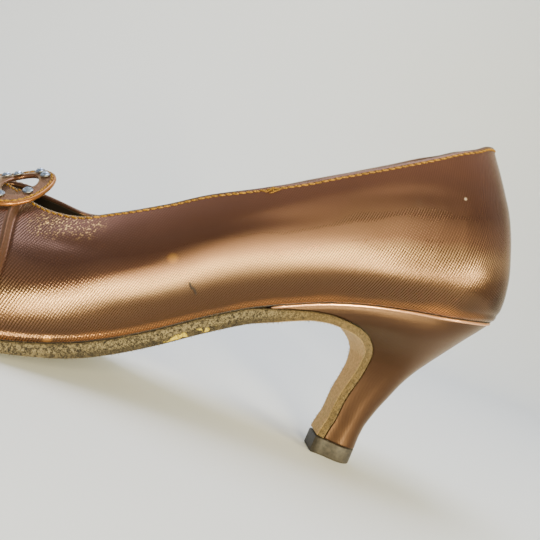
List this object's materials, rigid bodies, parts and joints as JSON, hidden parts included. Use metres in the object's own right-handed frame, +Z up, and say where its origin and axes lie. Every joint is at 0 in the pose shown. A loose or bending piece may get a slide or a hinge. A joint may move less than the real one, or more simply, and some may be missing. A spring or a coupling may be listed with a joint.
{
  "type": "dance shoe",
  "caption": "Closed satin court shoe for dancing, left foot, with a suede sole, a covered slim heel and a keyhole tab with glass stones over the throat.",
  "frame": {"origin": "centre of the heel tip's face, on the floor", "axes": "+X from the toe to the heel along the shoe, -Y the outer side, +Z up from the floor"},
  "size_m": [0.2379, 0.0808, 0.118],
  "materials": {
    "satin": "copper tan satin, twill back, soft sheen",
    "heel_satin": "the same satin drawn tight over the heel",
    "lining": "smooth pale brown lining leather",
    "suede": "napped grey beige suede, worn",
    "top_piece": "dark brown rubber, matt",
    "stone": "clear faceted glass, foiled behind"
  },
  "bodies": {
    "root": {"upper": "satin", "throat_tab": "satin", "insole": "lining", "outsole": "suede", "heel": "heel_satin", "heel_tip": "top_piece", "stone_1": "stone", "stone_2": "stone", "stone_3": "stone", "stone_4": "stone", "stone_5": "stone", "stone_6": "stone", "stone_7": "stone", "stone_8": "stone"}
  },
  "joints": []
}
